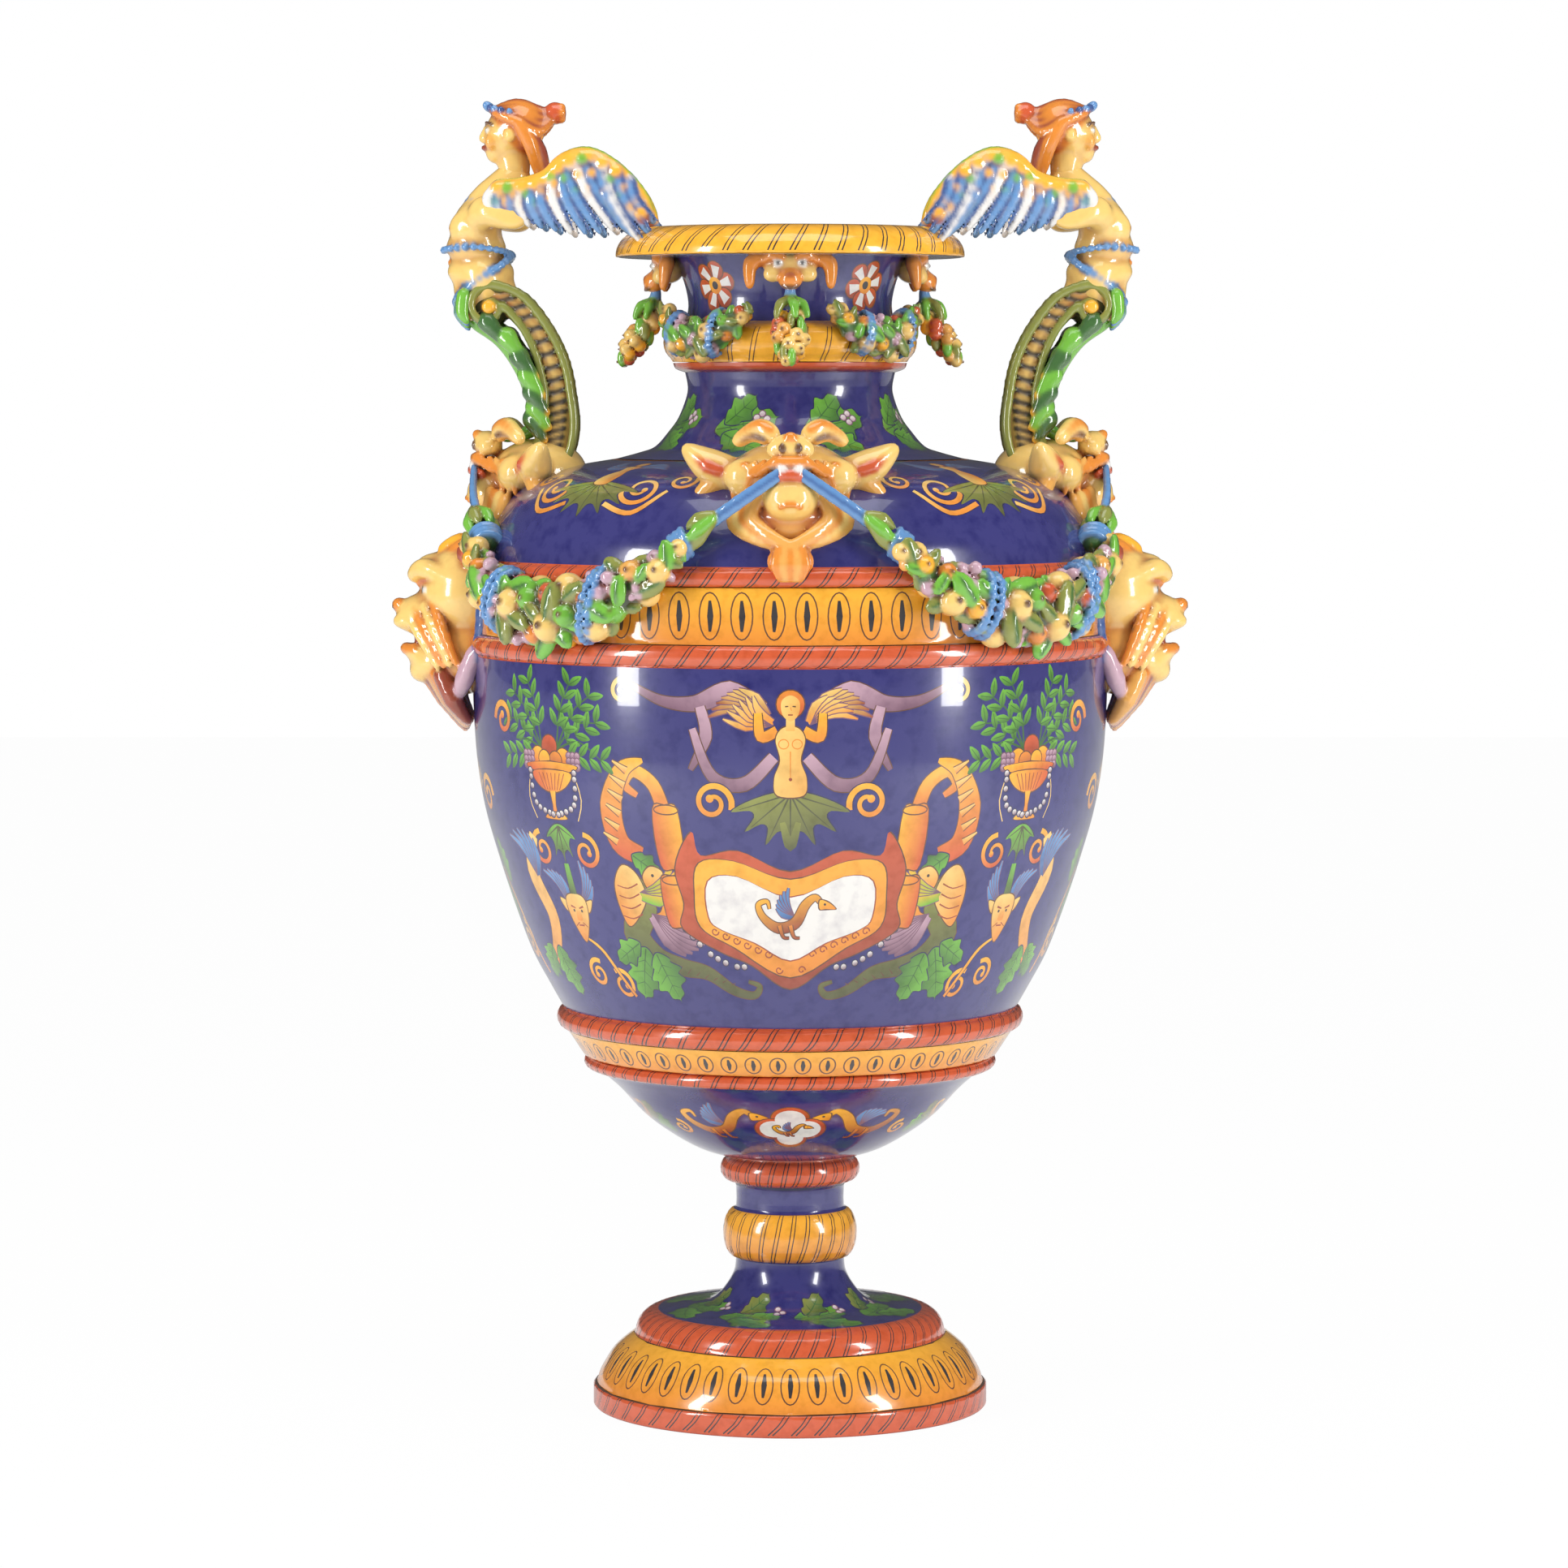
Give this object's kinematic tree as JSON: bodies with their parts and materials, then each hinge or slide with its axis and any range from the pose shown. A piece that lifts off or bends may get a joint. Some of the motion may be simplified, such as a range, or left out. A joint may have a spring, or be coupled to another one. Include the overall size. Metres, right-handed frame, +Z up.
{
  "type": "maiolica vase",
  "caption": "Footed ovoid earthenware vase with winged siren handles, relief masks, fruit garlands and painted grotesque decoration on cobalt.",
  "frame": {"origin": "on the floor under the middle of the foot", "axes": "+Z up the vase axis, front mask towards -Y, handles on +X and -X"},
  "size_m": [0.614, 0.504, 0.9955],
  "materials": {
    "cobalt_glaze": "deep cobalt ground under clear gloss glaze, painted with grotesques",
    "yellow_glaze": "ochre yellow with painted ovals, orange torus lines and dark hatching, gloss",
    "olive_glaze": "olive scroll glaze with hatched side strip, gloss",
    "leaf_glaze": "bright green acanthus, yellow edged, gloss",
    "flesh_glaze": "cream and amber flesh with brushed shading, gloss",
    "hair_glaze": "orange brown hair over cream face, gloss",
    "wing_glaze": "yellow, russet and blue feathers, gloss",
    "fruit_glaze": "cream fruit, green leaves, mauve grapes, gloss",
    "ribbon_glaze": "light blue ribbon with darker creases, gloss",
    "iron": "plain dark iron"
  },
  "bodies": {
    "root": {"foot": "yellow_glaze", "lower_band": "yellow_glaze", "upper_band": "yellow_glaze", "neck_band": "yellow_glaze", "rim": "yellow_glaze", "stem": "cobalt_glaze", "bowl": "cobalt_glaze", "belly": "cobalt_glaze", "shoulder": "cobalt_glaze", "neck": "cobalt_glaze", "throat": "cobalt_glaze", "tie_rod": "iron", "lower_washer": "iron", "lower_nut": "iron", "upper_washer": "iron", "upper_nut": "iron", "right_scroll": "olive_glaze", "right_acanthus": "leaf_glaze", "right_siren": "flesh_glaze", "right_siren_head": "hair_glaze", "right_front_wing": "wing_glaze", "right_back_wing": "wing_glaze", "right_lion_mask": "flesh_glaze", "left_scroll": "olive_glaze", "left_acanthus": "leaf_glaze", "left_siren": "flesh_glaze", "left_siren_head": "hair_glaze", "left_front_wing": "wing_glaze", "left_back_wing": "wing_glaze", "left_lion_mask": "flesh_glaze", "front_shoulder_mask": "flesh_glaze", "front_ribbon_a": "ribbon_glaze", "front_ribbon_b": "ribbon_glaze", "front_rim_mask": "flesh_glaze", "front_fruit_drop": "fruit_glaze", "right_shoulder_mask": "flesh_glaze", "right_ribbon_a": "ribbon_glaze", "right_ribbon_b": "ribbon_glaze", "right_rim_mask": "flesh_glaze", "right_fruit_drop": "fruit_glaze", "back_shoulder_mask": "flesh_glaze", "back_ribbon_a": "ribbon_glaze", "back_ribbon_b": "ribbon_glaze", "back_rim_mask": "flesh_glaze", "back_fruit_drop": "fruit_glaze", "left_shoulder_mask": "flesh_glaze", "left_ribbon_a": "ribbon_glaze", "left_ribbon_b": "ribbon_glaze", "left_rim_mask": "flesh_glaze", "left_fruit_drop": "fruit_glaze", "front_right_garland": "fruit_glaze", "front_right_neck_garland": "fruit_glaze", "back_right_garland": "fruit_glaze", "back_right_neck_garland": "fruit_glaze", "back_left_garland": "fruit_glaze", "back_left_neck_garland": "fruit_glaze", "front_left_garland": "fruit_glaze", "front_left_neck_garland": "fruit_glaze"}
  },
  "joints": []
}
